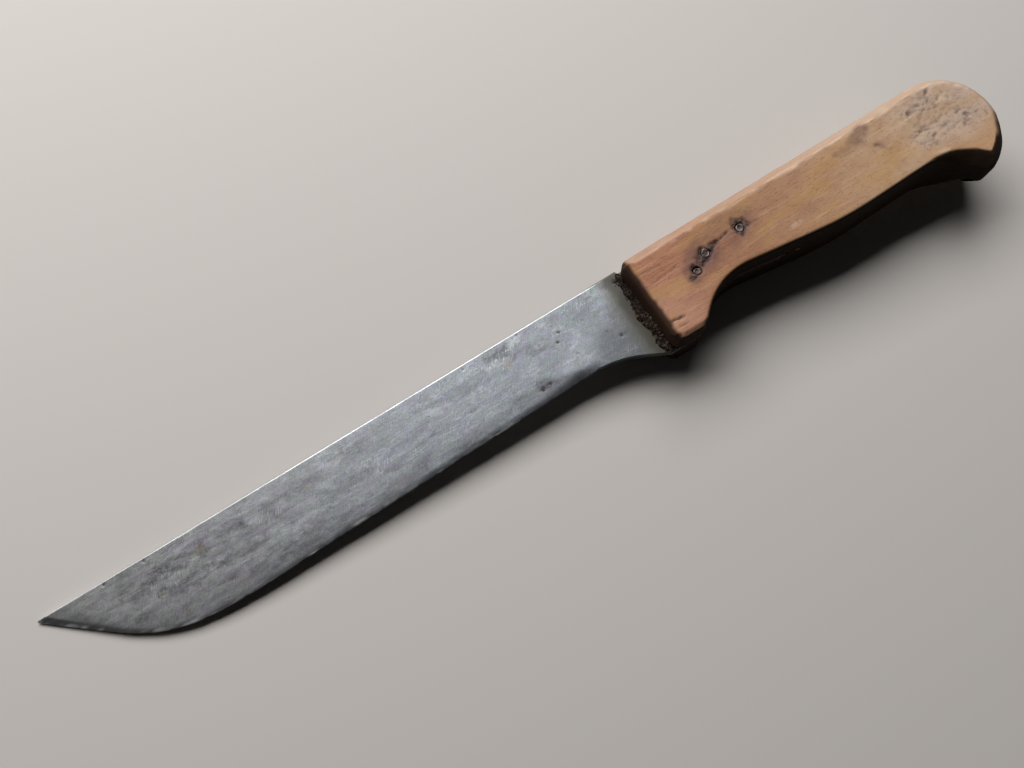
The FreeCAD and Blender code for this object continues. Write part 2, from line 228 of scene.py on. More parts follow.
def remeshed(node, voxel):
    """Copy of a CAD node in knife millimetres, rebuilt as an even, closed grid of small faces."""
    mesh = frame["nodes"][node].data.copy()
    points = to_knife(cad_points(node))
    mesh.vertices.foreach_set("co", points.ravel())
    mesh.update()
    helper = bpy.data.objects.new("helper", mesh)
    bpy.context.scene.collection.objects.link(helper)
    grid = helper.modifiers.new("grid", "REMESH")
    grid.mode = "VOXEL"
    grid.voxel_size = voxel
    grid.adaptivity = 0.0
    graph = bpy.context.evaluated_depsgraph_get()
    even = bpy.data.meshes.new_from_object(helper.evaluated_get(graph))
    bpy.data.objects.remove(helper)
    work = bmesh.new()
    work.from_mesh(even)
    every_way = {"use_axis_x": True, "use_axis_y": True, "use_axis_z": True}
    for _ in range(SMOOTHING_ROUNDS):
        bmesh.ops.smooth_vert(work, verts=work.verts, factor=0.5, **every_way)
    work.to_mesh(even)
    work.free()
    even.update()
    return even


# ---------------------------------------------------------------- shader building

def paint(red, green, blue):
    """Linear colour of an 8-bit display colour."""
    shares = [value / 255.0 for value in (red, green, blue)]
    return tuple(s / 12.92 if s <= 0.04045 else ((s + 0.055) / 1.055) ** 2.4 for s in shares) + (1.0,)


class Shader:
    """One material's nodes; places are in the knife's own frame, in millimetres."""

    def __init__(self, name):
        self.material = bpy.data.materials.new(name)
        self.material.use_nodes = True
        self.nodes = self.material.node_tree.nodes
        self.links = self.material.node_tree.links
        self.nodes.clear()
        places = self.add("ShaderNodeTexCoord")
        mapping = self.add("ShaderNodeMapping", Vector=places.outputs["Object"])
        mapping.inputs["Scale"].default_value = (1.0 / MM,) * 3
        mapping.inputs["Rotation"].default_value = (0.0, SLOPE, 0.0)
        mapping.inputs["Location"].default_value = tuple(-ORIGIN)
        self.place = mapping.outputs["Vector"]

    def feed(self, socket, value):
        """Links a socket to another one or sets its constant."""
        if isinstance(value, bpy.types.NodeSocket):
            self.links.new(value, socket)
        else:
            socket.default_value = value

    def add(self, kind, **sockets):
        """New node with its sockets fed by name."""
        node = self.nodes.new(kind)
        for name, value in sockets.items():
            self.feed(node.inputs[name.replace("_", " ")], value)
        return node

    def maths(self, operation, first, second):
        node = self.nodes.new("ShaderNodeMath")
        node.operation = operation
        self.feed(node.inputs[0], first)
        self.feed(node.inputs[1], second)
        return node.outputs[0]

    def times(self, *values):
        total = values[0]
        for value in values[1:]:
            total = self.maths("MULTIPLY", total, value)
        return total

    def most(self, first, second):
        return self.maths("MAXIMUM", first, second)

    def mix(self, share, first, second):
        """Colour that goes from the first to the second with the share."""
        node = self.nodes.new("ShaderNodeMix")
        node.data_type = "RGBA"
        self.feed(node.inputs[0], share)
        self.feed(node.inputs[6], first)
        self.feed(node.inputs[7], second)
        return node.outputs[2]

    def between(self, value, low, high, start=0.0, end=1.0):
        """Smooth step of a value from low to high, giving start to end."""
        node = self.add("ShaderNodeMapRange", Value=value)
        node.interpolation_type = "SMOOTHSTEP"
        for name, number in (("From Min", low), ("From Max", high), ("To Min", start), ("To Max", end)):
            self.feed(node.inputs[name], number)
        return node.outputs["Result"]

    def mask(self, name):
        """Value stored with the mesh under a name."""
        node = self.nodes.new("ShaderNodeAttribute")
        node.attribute_name = name
        return node.outputs["Fac"]

    def axis(self, letter):
        """One coordinate in the knife's own frame."""
        return self.add("ShaderNodeSeparateXYZ", Vector=self.place).outputs[letter]

    def noise(self, size, detail=2.0, rough=0.5, turn=0.0, shift=0.0, wobble=0.0):
        """Noise from 0 to 1 whose features have the given size along the turned axes."""
        vector = self.place
        if turn:
            node = self.add("ShaderNodeVectorRotate", Vector=vector, Angle=math.radians(turn))
            node.rotation_type = "Z_AXIS"
            vector = node.outputs["Vector"]
        scaled = self.nodes.new("ShaderNodeVectorMath")
        scaled.operation = "MULTIPLY_ADD"
        self.feed(scaled.inputs[0], vector)
        scaled.inputs[1].default_value = tuple(1.0 / s for s in size)
        scaled.inputs[2].default_value = (shift, shift * 0.7, shift * 1.3)
        node = self.add("ShaderNodeTexNoise", Vector=scaled.outputs["Vector"], Scale=1.0, Detail=detail)
        self.feed(node.inputs["Roughness"], rough)
        self.feed(node.inputs["Distortion"], wobble)
        return node.outputs["Fac"]

    def ramp(self, value, stops):
        """Colours at positions from 0 to 1."""
        node = self.add("ShaderNodeValToRGB", Fac=value)
        marks = node.color_ramp.elements
        while len(marks) < len(stops):
            marks.new(0.5)
        for mark, (position, colour) in zip(marks, stops):
            mark.position = position
            mark.color = colour
        return node.outputs["Color"]

    def surface(self, colour, roughness, bumps, metallic=0.0, specular=0.5):
        """Principled surface; bumps are pairs of a height from 0 to 1 and its depth in millimetres."""
        shader = self.add("ShaderNodeBsdfPrincipled", Base_Color=colour, Roughness=roughness)
        self.feed(shader.inputs["Metallic"], metallic)
        shader.inputs["Specular IOR Level"].default_value = specular
        normal = None
        for height, depth in bumps:
            bump = self.add("ShaderNodeBump", Height=height, Distance=depth * MM, Strength=1.0)
            if normal:
                self.links.new(normal, bump.inputs["Normal"])
            normal = bump.outputs["Normal"]
        self.links.new(normal, shader.inputs["Normal"])
        output = self.nodes.new("ShaderNodeOutputMaterial")
        self.links.new(shader.outputs["BSDF"], output.inputs["Surface"])
        return self.material


# ---------------------------------------------------------------- handle

HANDLE_VOXEL = 0.43
HALF_HANDLE = 10.0
CRISP_ARRIS = 1.3
SOFT_ARRIS = 3.6
HOOK_ARRIS = 5.5
MOST_RAISED = 0.12
WALL_HEIGHT = 5.0
HOLE_REACH = 2.5
PIN_PLACES = {"rear_pin": (238.2, 11.4), "middle_pin": (224.7, 12.7), "front_pin": (219.1, 16.2)}

# single dents: x, depth below the spine, half length, half width, turn in degrees, how deep
# (all lists of marks are in millimetres)
DENTS = (
    (314.2, 5.6, 2.1, 0.7, 12, 0.6),
    (309.4, 7.6, 1.5, 0.7, -20, 0.45),
    (305.2, 8.8, 1.1, 0.9, 40, 0.4),
    (316.6, 8.9, 1.3, 0.6, 60, 0.4),
    (303.9, 15.4, 1.4, 0.6, -35, 0.4),
    (307.3, 18.9, 1.2, 0.8, 25, 0.35),
    (320.4, 18.6, 1.6, 1.0, -50, 0.45),
    (318.4, 16.2, 1.0, 0.6, 10, 0.35),
    (325.6, 21.4, 1.2, 0.5, 75, 0.3),
    (290.4, 12.0, 1.3, 0.7, -40, 0.25),
    (265.5, 14.4, 0.8, 0.5, 15, 0.2),
    (281.9, 19.6, 0.6, 0.4, 60, 0.2),
    (273.4, 6.7, 0.9, 0.5, -25, 0.2),
)

# battered areas and stains: strength, x, depth, half length, half width, turn, roughness, seed
BATTERED = (
    (1.0, 309.5, 8.6, 10.0, 5.6, 0.0, 0.4, 31),
    (0.8, 305.0, 17.0, 6.0, 6.0, 0.0, 0.4, 32),
    (0.8, 320.5, 18.0, 6.5, 5.5, 0.0, 0.4, 33),
    (0.5, 313.0, 15.0, 18.0, 14.0, 0.0, 0.3, 34),
)
WOOD_STAINS = (
    (0.85, 285.6, 5.8, 6.5, 3.6, 10.0, 0.5, 18),
    (0.6, 281.0, 7.8, 4.6, 2.8, 0.0, 0.5, 19),
    (0.5, 291.0, 13.2, 3.4, 1.8, -40.0, 0.6, 20),
    (0.9, 222.6, 14.2, 10.0, 6.2, 25.0, 0.5, 21),
    (0.7, 238.4, 11.6, 5.6, 4.6, 0.0, 0.6, 22),
    (0.5, 231.0, 9.0, 14.0, 8.0, 0.0, 0.5, 29),
)

# frayed wood beside the pins: start, end, half width
TAILS = (
    ((239.5, 9.6), (241.8, 12.9), 1.3),
    ((226.2, 12.0), (230.6, 11.4), 1.3),
    ((220.6, 15.2), (224.6, 13.4), 1.6),
    ((215.6, 17.6), (219.0, 18.2), 1.1),
)

# cracks: start, end, half width, strength
CRACKS = (
    ((229.0, 11.8), (235.2, 10.4), 0.45, 0.9),
    ((241.0, 12.4), (245.0, 12.2), 0.35, 0.4),
    ((203.0, 25.4), (208.4, 26.2), 0.55, 1.0),
    ((204.0, 28.0), (208.0, 28.4), 0.35, 0.5),
    ((203.0, 8.0), (212.0, 8.6), 0.4, 0.35),
    ((205.0, 12.2), (215.5, 11.6), 0.4, 0.4),
)


def wall_distance(points, normals):
    """How far each point lies inside the handle's outline, the way outwards and the nearest wall place."""
    x, y, z = points.T
    upright = (np.abs(np.abs(z) - WALL_HEIGHT) < 1.0) & (np.abs(normals[:, 2]) < 0.3)
    for pin_x, depth in PIN_PLACES.values():
        upright &= np.hypot(x - pin_x, y + depth) > HOLE_REACH
    wall = np.flatnonzero(upright)
    tree = KDTree(len(wall))
    for place, index in enumerate(wall):
        tree.insert((x[index], y[index], 0.0), place)
    tree.balance()
    nearest = np.array([wall[tree.find((a, b, 0.0))[1]] for a, b in zip(x, y)])
    outwards = normals[nearest, :2]
    outwards = outwards / np.hypot(outwards[:, 0], outwards[:, 1])[:, None]
    place = points[nearest, :2]
    inside = np.maximum(0.0, ((place - points[:, :2]) * outwards).sum(axis=1))
    return inside, outwards, place


def worn_arrises(points, inside, outwards, place):
    """Points with the handle's arrises worn back, and how far across its arris each point lies."""
    x = place[:, 0]
    depth = -place[:, 1]
    soft = np.maximum(smooth(0.0, 0.6, outwards[:, 1]), smooth(300.0, 312.0, x))
    flat_place = np.stack([x, -depth, np.sign(points[:, 2])], axis=1)
    radius = CRISP_ARRIS + (SOFT_ARRIS - CRISP_ARRIS) * soft + 0.5 * smooth(0.6, 0.9, -outwards[:, 0])
    radius += HOOK_ARRIS * smooth(306.0, 315.0, x) * smooth(24.0, 31.0, depth) * (points[:, 2] < 0.0)
    radius = radius * (1.0 + 0.12 * fractal(flat_place, 7.0, 27))
    flare = smooth(302.0, 310.0, x) * smooth(0.1, 0.5, -outwards[:, 0])
    bend = 2.0 - 0.65 * soft - 0.25 * flare
    across = np.clip((radius - inside) / radius, 0.0, 1.0)
    along = np.clip((np.abs(points[:, 2]) - HALF_HANDLE + radius) / radius, 0.0, 1.0)
    reach = (across ** bend + along ** bend) ** (1.0 / bend)
    shrink = np.where((reach > 1.0) & (across > 0.0) & (along > 0.0), 1.0 / np.maximum(reach, 1.0), 1.0)
    worn = points.copy()
    worn[:, :2] -= outwards * (radius * across * (1.0 - shrink))[:, None]
    fall = radius * along * (1.0 - shrink)
    worn[:, 2] -= np.sign(points[:, 2]) * fall
    return worn, inside / radius


def handle_masks(points, normals, outwards, rim):
    """How far the wood stands in or out, where it is stained, dented, cracked or worn, and where shade and
    highlights are painted.
    """
    x = points[:, 0]
    upper = smooth(5.0, 8.5, points[:, 2])
    lower = smooth(5.0, 8.5, -points[:, 2])
    height = 0.10 * fractal(points, 14.0, 11) + 0.05 * fractal(points, 3.5, 12)
    height += 0.03 * fractal(points, (14.0, 0.9, 0.9), 13)

    dents = np.zeros(len(points))
    for number, (dent_x, depth, wide, high, turn, deep) in enumerate(DENTS):
        dent = upper * spot(points, dent_x, -depth, wide, high, turn=turn, rough=0.6, seed=40 + number)
        height -= deep * dent
        dents = np.maximum(dents, dent * min(1.0, deep * 2.2))
    battered = widest(points, BATTERED)
    battered *= 1.0 - smooth(20.5, 25.5, -points[:, 1])
    battered = np.maximum(battered * upper, 0.45 * smooth(296.0, 312.0, x) * (1.0 - upper))
    coarse = smooth(0.05, 0.45, fractal(points, (1.9, 1.1, 1.5), 14))
    fine = smooth(0.08, 0.45, fractal(points, (1.0, 0.7, 0.9), 15))
    chips = smooth(0.15, 0.6, battered) * np.maximum(coarse, 0.8 * fine)
    height -= 0.15 * chips

    broken = np.zeros(len(points))
    for number, (pin_x, depth) in enumerate(PIN_PLACES.values()):
        for face, seed in ((upper, 60), (lower, 70)):
            rim_spot = spot(points, pin_x, -depth, 3.6, 2.9, rough=0.8, seed=seed + number)
            broken = np.maximum(broken, face * rim_spot)
    for number, (start, end, width) in enumerate(TAILS):
        broken = np.maximum(broken, upper * streak(points, start, end, width, 80 + number, ragged=0.7))
    cracks = np.zeros(len(points))
    for number, (start, end, width, strength) in enumerate(CRACKS):
        line = streak(points, start, end, width, 90 + number, ragged=0.25)
        cracks = np.maximum(cracks, strength * upper * line)
    height -= 0.6 * broken * (0.6 + 0.8 * noise(points, 0.9, 16)) + 0.35 * cracks

    chipped = spot(points, 202.8, -30.2, 2.6, 1.5, rough=0.8, seed=17) * smooth(4.0, 9.0, points[:, 2])
    ragged = smooth(29.6, 31.0, 0.7 * noise(points, 1.2, 38) - points[:, 1])
    chipped = np.maximum(chipped, 0.8 * upper * ragged * (1.0 - smooth(212.0, 216.0, x)))
    height -= 0.5 * chipped
    stain = widest(points, WOOD_STAINS) * upper
    flats = np.maximum(upper, lower)
    # Painted highlight: the rounding on the spine side, which faces the window, is painted lighter.
    lit_band = smooth(0.2, 0.7, outwards[:, 1]) * (1.0 - smooth(0.8, 1.05, rim)) * flats
    arris = (1.0 - smooth(0.05, 0.3, np.abs(rim - 1.0))) * smooth(0.0, 0.5, outwards[:, 1]) * flats
    rear = smooth(215.0, 300.0, x)
    worn = 0.35 * smooth(0.2, 0.7, fractal(points, (6.0, 2.5, 2.5), 23)) * smooth(296.0, 306.0, x) * upper
    worn = np.maximum(worn, 0.3 * spot(points, 253.0, -19.8, 2.6, 0.9, rough=0.6, seed=24))
    lit_band = lit_band * (0.55 + 0.35 * rear + 0.25 * noise(points, (6.0, 1.0, 1.0), 25))
    # The arris line on the spine side is partly wear and partly a painted highlight where the rounding faces
    # the window.
    worn = np.maximum(worn, arris * (0.05 + 0.2 * rear + 0.5 * noise(points, (3.0, 0.7, 0.7), 26)))
    # Painted shade: the walls facing away from the window, the front face and the inside of the hook are
    # darkened almost to black; the chipped wood adds real grime.
    under_side = np.maximum(
        smooth(0.2, 0.8, -normals[:, 1]),
        smooth(0.08, 0.4, -normals[:, 1]) * smooth(298.0, 303.0, x),
    )
    front = 1.0 - smooth(202.3, 203.7, x + 0.4 * noise(points, 1.6, 28))
    tilted = smooth(0.02, 0.12, np.hypot(normals[:, 0], normals[:, 1]))
    hook = smooth(312.0, 315.0, x) * smooth(27.0, 30.0, -points[:, 1]) * tilted
    shade_and_grime = np.maximum.reduce([0.965 * under_side, 0.91 * front, 0.85 * chipped, 0.965 * hook])
    return height, {
        "pit": np.maximum(dents, 0.85 * chips),
        "battered": battered,
        "broken": np.maximum(broken, cracks),
        "stain": stain,
        "lit_band": lit_band,
        "worn": worn,
        "shade_and_grime": shade_and_grime,
    }


def wood_material():
    """Worn beech: redder and streaked at the front, pale and dented at the butt, with a painted highlight on
    the spine-side band and painted shade on the walls that face away from the window.
    """
    shader = Shader("worn_beech")
    along = shader.add("ShaderNodeMapRange", Value=shader.axis("X"))
    along.inputs["From Min"].default_value = 200.0
    along.inputs["From Max"].default_value = HANDLE_END
    # Paler and greyer towards the butt: partly the wood's own tone, partly a painted sheen.
    tone = shader.ramp(along.outputs["Result"], (
        (0.0, paint(160, 110, 86)),
        (0.25, paint(153, 112, 86)),
        (0.5, paint(162, 127, 100)),
        (0.72, paint(175, 147, 119)),
        (0.88, paint(186, 163, 143)),
        (1.0, paint(180, 158, 142)),
    ))
    front = shader.between(shader.axis("X"), 215.0, 265.0, 1.0, 0.3)
    bands = shader.noise((34.0, 2.6, 2.6), detail=3.0, wobble=0.6)
    bands = shader.between(bands, 0.46, 0.7, 0.0, 0.42)
    tone = shader.mix(shader.times(bands, front), tone, paint(132, 78, 50))
    fibres = shader.noise((7.0, 0.5, 0.5), detail=4.0, rough=0.65, shift=7.0)
    lines = shader.between(fibres, 0.5, 0.76, 0.0, 0.6)
    tone = shader.mix(shader.times(lines, front), tone, paint(106, 60, 40))
    pale = shader.noise((9.0, 0.9, 0.9), detail=3.0, shift=21.0, wobble=0.3)
    tone = shader.mix(shader.between(pale, 0.52, 0.74, 0.0, 0.3), tone, paint(198, 160, 130))
    flecks = shader.between(shader.noise((1.3, 0.3, 0.3), detail=1.0, shift=13.0), 0.6, 0.73)
    tone = shader.mix(shader.times(flecks, 0.4), tone, paint(112, 74, 52))
    ahead = shader.between(shader.axis("X"), 226.0, 208.0)
    guard = shader.between(shader.axis("Y"), -9.0, -19.0)
    tone = shader.mix(shader.times(ahead, guard, 0.3), tone, paint(196, 156, 134))
    cloud = shader.noise((8.0, 5.0, 5.0), detail=5.0, rough=0.65, shift=31.0)
    tone = shader.mix(shader.between(cloud, 0.42, 0.7, 0.0, 0.4), tone, paint(138, 98, 78))
    yellow = shader.noise((20.0, 7.0, 7.0), detail=3.0, shift=52.0)
    tone = shader.mix(shader.between(yellow, 0.45, 0.65, 0.0, 0.4), tone, paint(172, 134, 84))
    speck = shader.between(shader.noise((0.5, 0.4, 0.4), detail=2.0, shift=17.0), 0.64, 0.74)
    tone = shader.mix(shader.times(speck, 0.35), tone, paint(74, 50, 38))

    mottle = shader.between(shader.noise((1.2, 0.9, 0.9), detail=3.0, shift=3.0), 0.35, 0.65)
    tone = shader.mix(shader.times(shader.mask("battered"), 0.5), tone, paint(156, 140, 130))
    low = shader.between(shader.axis("Y"), -21.0, -29.0)
    behind = shader.between(shader.axis("X"), 292.0, 306.0)
    tone = shader.mix(shader.times(low, behind, 0.65), tone, paint(168, 126, 84))
    # Painted highlight on the spine-side rounding.
    tone = shader.mix(shader.times(shader.mask("lit_band"), 0.9), tone, paint(176, 150, 131))
    # Lighter wear at the butt and a small pale patch, plus a painted highlight along the spine-side arris.
    tone = shader.mix(shader.times(shader.mask("worn"), 0.8), tone, paint(222, 196, 174))
    stain = shader.times(shader.mask("stain"), shader.between(cloud, 0.3, 0.6, 0.35, 0.75))
    tone = shader.mix(stain, tone, paint(88, 64, 66))
    pit = shader.times(shader.mask("pit"), shader.between(mottle, 0.0, 1.0, 0.3, 0.7))
    tone = shader.mix(pit, tone, paint(82, 66, 58))
    # Painted shade on the walls facing away from the window, the front face and the hook, with real grime on
    # the chipped wood.
    tone = shader.mix(shader.mask("shade_and_grime"), tone, paint(17, 8, 5))
    frayed = shader.between(shader.noise((1.1, 0.35, 0.5), detail=3.0, shift=29.0), 0.38, 0.6)
    broken = shader.times(shader.mask("broken"), shader.between(frayed, 0.0, 1.0, 0.45, 0.95))
    tone = shader.mix(broken, tone, paint(44, 38, 42))
    shine = shader.between(cloud, 0.3, 0.7, 0.45, 0.6)
    shine = shader.most(shine, shader.times(shader.most(shader.mask("pit"), shader.mask("shade_and_grime")), 0.85))
    return shader.surface(tone, shine, (
        (fibres, 0.05),
        (flecks, -0.05),
        (shader.noise((0.35, 0.2, 0.2), detail=2.0), 0.03),
    ), specular=0.12)


def make_handle():
    """Handle with worn arrises, dents, cracks and broken wood at the pins."""
    mesh = remeshed("handle", HANDLE_VOXEL)
    points, normals = mesh_arrays(mesh)
    inside, outwards, place = wall_distance(points, normals)
    points, rim = worn_arrises(points, inside, outwards, place)
    mesh.vertices.foreach_set("co", points.ravel())
    mesh.update()
    points, normals = mesh_arrays(mesh)
    height, masks = handle_masks(points, normals, outwards, rim)
    shaped = points + normals * np.minimum(height, MOST_RAISED)[:, None]
    faces = [tuple(face.vertices) for face in mesh.polygons]
    return new_piece("beech_handle", shaped, faces, wood_material(), ["handle"], masks)


# ---------------------------------------------------------------- blade

BLADE_STEP = 0.42
HIDDEN_STEP = 1.6
END_GAP = 0.03
CAP_ROWS = 4
SPREAD_ACROSS = 3
SPREAD_ALONG = 11
SPINE_ROUNDING = 0.3
MOST_PROUD = 0.03

# dark streaks in the steel: start, end, half width, strength, seed
DARK_STREAKS = (
    ((24.0, 7.2), (66.0, 7.0), 2.1, 0.85, 101),
    ((34.0, 13.4), (70.0, 14.2), 1.6, 0.8, 102),
    ((70.0, 8.0), (92.0, 7.0), 2.2, 0.5, 108),
    ((60.0, 20.8), (88.0, 21.6), 2.4, 0.6, 109),
    ((20.0, 3.4), (48.0, 3.0), 1.6, 0.4, 110),
    ((64.0, 3.0), (71.0, 3.4), 1.6, 0.5, 103),
    ((150.5, 3.2), (160.5, 2.6), 1.7, 0.8, 104),
    ((99.0, 4.7), (107.5, 6.4), 1.5, 0.45, 105),
    ((87.0, 13.2), (108.0, 13.0), 2.0, 0.4, 106),
    ((132.0, 8.0), (150.0, 7.0), 1.8, 0.35, 107),
)

# spots on the steel: strength, x, depth, half length, half width, turn, roughness, seed
DARK_SPOTS = (
    (0.5, 28.0, 15.2, 3.4, 2.0, 0.0, 0.6, 111),
    (0.45, 64.7, 9.8, 3.0, 1.8, 0.0, 0.6, 112),
    (0.4, 80.3, 20.6, 5.5, 1.8, 0.0, 0.6, 113),
    (0.45, 83.1, 5.6, 2.6, 1.6, 0.0, 0.6, 114),
    (0.6, 163.0, 20.3, 2.6, 1.4, 0.0, 0.6, 115),
    (0.3, 167.0, 22.0, 6.5, 3.0, 0.0, 0.6, 116),
)
TAN_SPOTS = (
    (1.0, 50.8, 7.0, 2.2, 1.4, 0.0, 0.5, 151),
    (1.0, 86.8, 8.0, 2.4, 1.6, 0.0, 0.5, 152),
    (1.0, 156.7, 7.6, 2.6, 1.5, 0.0, 0.5, 153),
)
SCRATCHED_SPOTS = (
    (1.0, 37.0, 9.8, 10.0, 4.5, 0.0, 0.5, 164),
    (0.7, 74.0, 8.0, 6.0, 5.0, 0.0, 0.5, 165),
    (0.8, 156.0, 3.8, 8.0, 3.4, 0.0, 0.5, 166),
    (0.5, 104.0, 13.0, 9.0, 4.0, 0.0, 0.5, 167),
    (0.5, 28.0, 20.0, 9.0, 3.0, 0.0, 0.5, 168),
)

# single pits: x, depth, radius; their seeds follow one another
FIRST_PIT_SEED = 131
PITS = (
    (34.8, 1.0, 0.7),
    (21.9, 1.2, 0.7),
    (163.6, 1.0, 0.7),
    (173.1, 10.1, 0.6),
    (175.1, 7.4, 0.6),
    (190.9, 18.9, 0.7),
    (187.9, 15.5, 0.5),
    (161.3, 20.4, 0.9),
    (164.3, 20.0, 0.7),
    (199.0, 2.7, 1.1),
)


def outline_at(points, edges, stations):
    """Lowest and highest y where a mesh's edges cross each station along x."""
    a = points[edges[:, 0]]
    b = points[edges[:, 1]]
    lows = []
    highs = []
    for x in stations:
        crossing = (a[:, 0] - x) * (b[:, 0] - x) <= 0.0
        p = a[crossing]
        q = b[crossing]
        run = q[:, 0] - p[:, 0]
        share = np.where(np.abs(run) > 1e-9, (x - p[:, 0]) / np.where(np.abs(run) > 1e-9, run, 1.0), 0.5)
        y = p[:, 1] + share * (q[:, 1] - p[:, 1])
        lows.append(y.min())
        highs.append(y.max())
    return np.array(lows), np.array(highs)


def blade_sections():
    """Stations along the blade with its spine and edge, and a function that gives half its thickness."""
    points = to_knife(cad_points("blade"))
    mesh = frame["nodes"]["blade"].data
    edges = np.array([tuple(e.vertices) for e in mesh.edges])
    faces = [tuple(f.vertices) for f in mesh.polygons]
    tree = BVHTree.FromPolygons([Vector(p) for p in points], faces)
    first = points[:, 0].min() + END_GAP
    last = points[:, 0].max() - END_GAP
    visible = np.arange(first, HANDLE_FRONT + 2.0, BLADE_STEP)
    hidden = np.arange(visible[-1] + HIDDEN_STEP, last, HIDDEN_STEP)
    stations = np.concatenate([visible, hidden, [last]])
    low, high = outline_at(points, edges, stations)

    def half_thickness(x, y):
        hit = tree.ray_cast(Vector((x, y, 5.0)), Vector((0.0, 0.0, -1.0)))
        return hit[0].z if hit[0] else None

    return stations, low, high, half_thickness


def evened(halves, stations):
    """Half thicknesses averaged over neighbouring places, so that grinding and bevel run out softly."""
    window = 2 * SPREAD_ACROSS + 1
    padded = np.pad(halves, ((0, 0), (SPREAD_ACROSS, SPREAD_ACROSS)), mode="reflect", reflect_type="odd")
    across = sum(padded[:, shift:shift + halves.shape[1]] for shift in range(window)) / window
    window = 2 * SPREAD_ALONG + 1
    padded = np.pad(across, ((SPREAD_ALONG, SPREAD_ALONG), (0, 0)), mode="edge")
    mean = sum(padded[shift:shift + len(halves)] for shift in range(window)) / window
    share = smooth(6.0, 16.0, stations) * (1.0 - smooth(198.0, 201.0, stations))
    return across + (mean - across) * share[:, None]


def blade_grid():
    """Closed grid over both faces, the spine and the edge, and its faces."""
    stations, low, high, half_thickness = blade_sections()
    rows = int((high - low).max() / BLADE_STEP)
    share = np.linspace(0.0, 1.0, rows + 1)
    share = share - 0.03 * np.sin(2.0 * np.pi * share) / np.pi
    rings = []
    halves = []
    for x, bottom, top in zip(stations, low, high):
        y = top + (bottom - top) * share
        inner = np.clip(y, bottom + 0.02, top - 0.02) if top - bottom > 0.1 else y
        half = np.array([half_thickness(x, v) or -1.0 for v in inner])
        known = np.flatnonzero(half > 0.0)
        half = np.interp(np.arange(len(half)), known, half[known]) if len(known) else np.full(len(half), 0.1)
        halves.append(half)
    for x, bottom, top, half in zip(stations, low, high, evened(np.array(halves), stations)):
        y = top + (bottom - top) * share
        corner = np.minimum(SPINE_ROUNDING, half[0] * 0.5)
        near = np.clip((top - y) / corner, 0.0, 1.0)
        half = half - corner * (1.0 - np.sqrt(1.0 - (1.0 - near) ** 2))
        upper = np.stack([np.full(len(y), x), y, half], axis=1)
        under = upper[::-1] * (1.0, 1.0, -1.0)
        caps = []
        for start, end in ((upper[-1], under[0]), (under[-1], upper[0])):
            for step in range(1, CAP_ROWS + 1):
                caps.append(start + (end - start) * step / (CAP_ROWS + 1.0))
        rings.append(np.concatenate([upper, caps[:CAP_ROWS], under, caps[CAP_ROWS:]]))
    size = len(rings[0])
    points = np.concatenate(rings)
    faces = []
    for column in range(len(rings) - 1):
        base = column * size
        for row in range(size):
            after = (row + 1) % size
            faces.append((base + row, base + after, base + size + after, base + size + row))
    faces.append(tuple(range(size - 1, -1, -1)))
    last = (len(rings) - 1) * size
    faces.append(tuple(range(last, last + size)))
    return points, faces, low, high, stations


